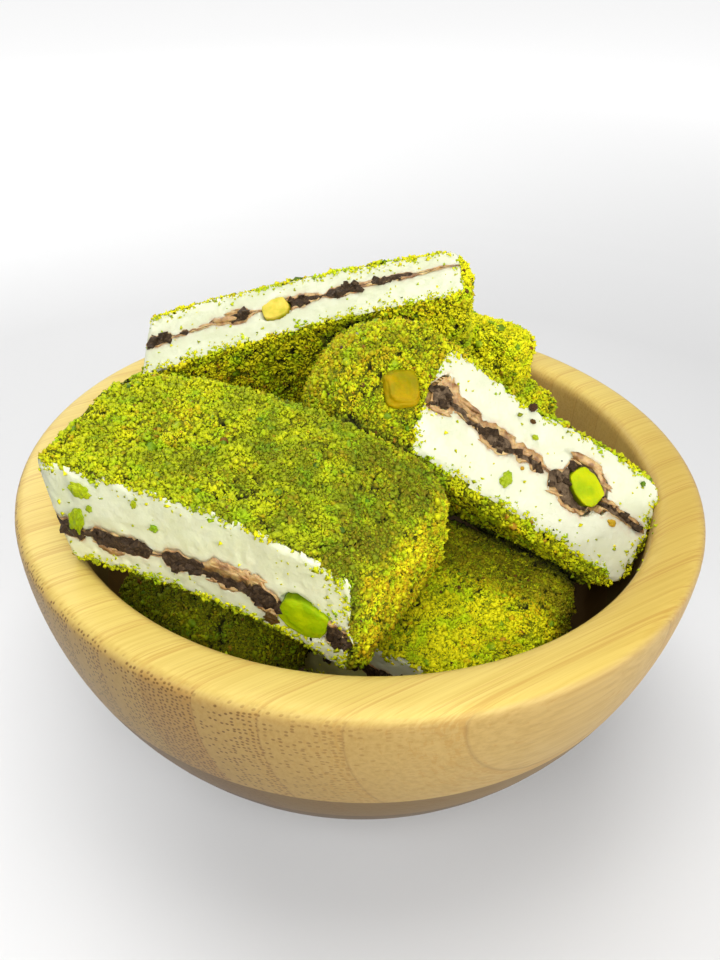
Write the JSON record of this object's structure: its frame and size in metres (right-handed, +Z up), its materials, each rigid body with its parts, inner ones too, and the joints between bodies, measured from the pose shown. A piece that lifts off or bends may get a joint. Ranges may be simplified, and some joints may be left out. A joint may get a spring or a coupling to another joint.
{
  "type": "turkish delight in a bowl",
  "caption": "Slabs of white nougat delight with a chocolate filling, whole pistachio kernels and a ground pistachio coat, heaped in a turned bamboo bowl.",
  "frame": {"origin": "middle of the flat base of the bowl, on the table it rests on", "axes": "+Z up along the bowl's axis, +X to the right and +Y to the back as seen from the front, where the cut sides of the slabs face"},
  "size_m": [0.12, 0.12, 0.0909],
  "materials": {
    "bamboo": "pale laminated bamboo, turned and sanded smooth, satin",
    "nougat": "white whipped nougat, soft and slightly waxy, fine bubbles at the cut",
    "chocolate_filling": "dark chocolate lumps edged with tan caramel",
    "pistachio_crust": "rough coat of ground pistachio",
    "pistachio_kernel": "fresh green nut, slightly waxy"
  },
  "bodies": {
    "root": {"bowl": "bamboo", "front_slab_nougat_base": "nougat", "front_slab_filling": "chocolate_filling", "front_slab_nougat_top": "nougat", "rear_slab_nougat_base": "nougat", "rear_slab_filling": "chocolate_filling", "rear_slab_nougat_top": "nougat", "right_slab_nougat_base": "nougat", "right_slab_filling": "chocolate_filling", "right_slab_nougat_top": "nougat", "low_slab_nougat_base": "nougat", "low_slab_filling": "chocolate_filling", "low_slab_nougat_top": "nougat", "back_slab": "pistachio_crust", "under_slab": "pistachio_crust", "corner_slab": "pistachio_crust", "front_slab_kernel": "pistachio_kernel", "rear_slab_kernel": "pistachio_kernel", "right_slab_cut_kernel": "pistachio_kernel", "right_slab_end_kernel": "pistachio_kernel"}
  },
  "joints": []
}
